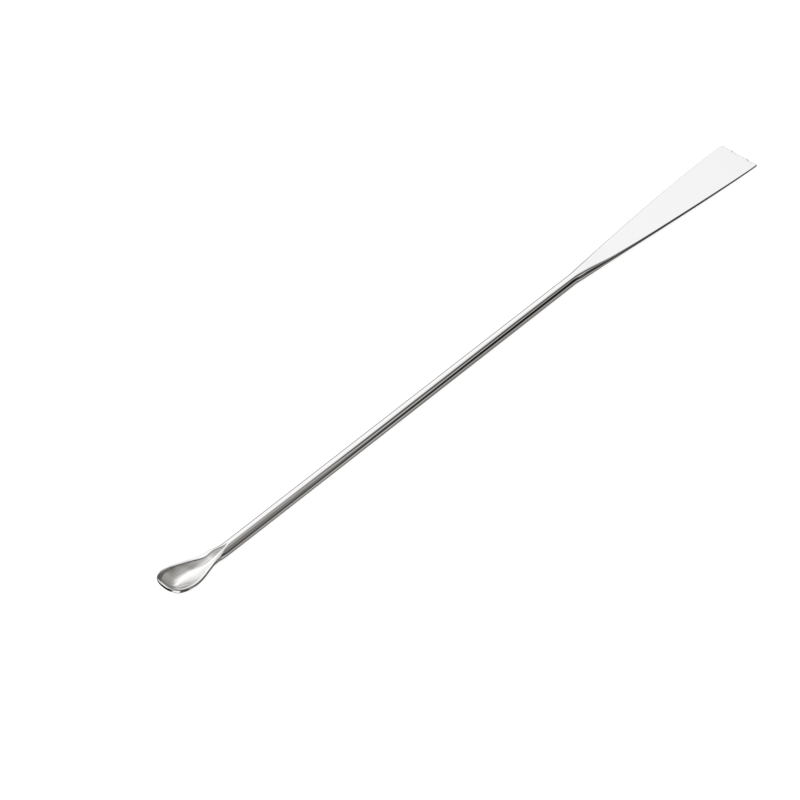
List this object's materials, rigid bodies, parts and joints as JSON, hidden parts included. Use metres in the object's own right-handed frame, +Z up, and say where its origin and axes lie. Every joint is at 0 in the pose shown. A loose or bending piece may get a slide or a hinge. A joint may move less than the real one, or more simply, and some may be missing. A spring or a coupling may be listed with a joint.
{
  "type": "lab spatula",
  "caption": "Polished steel laboratory spatula: a round rod forged into a long blade with a square, flared tip, and into a small dished spoon with a raised tip, for weighing out powders.",
  "frame": {"origin": "Centre of the footprint, on the ground that the spatula rests on.", "axes": "+Z up; X along the rod, with the blade towards +X and the spoon towards -X; the bowl opens upwards."},
  "size_m": [0.2, 0.0116, 0.0056],
  "materials": {
    "steel": "polished"
  },
  "bodies": {
    "root": {"spatula": "steel"}
  },
  "joints": []
}
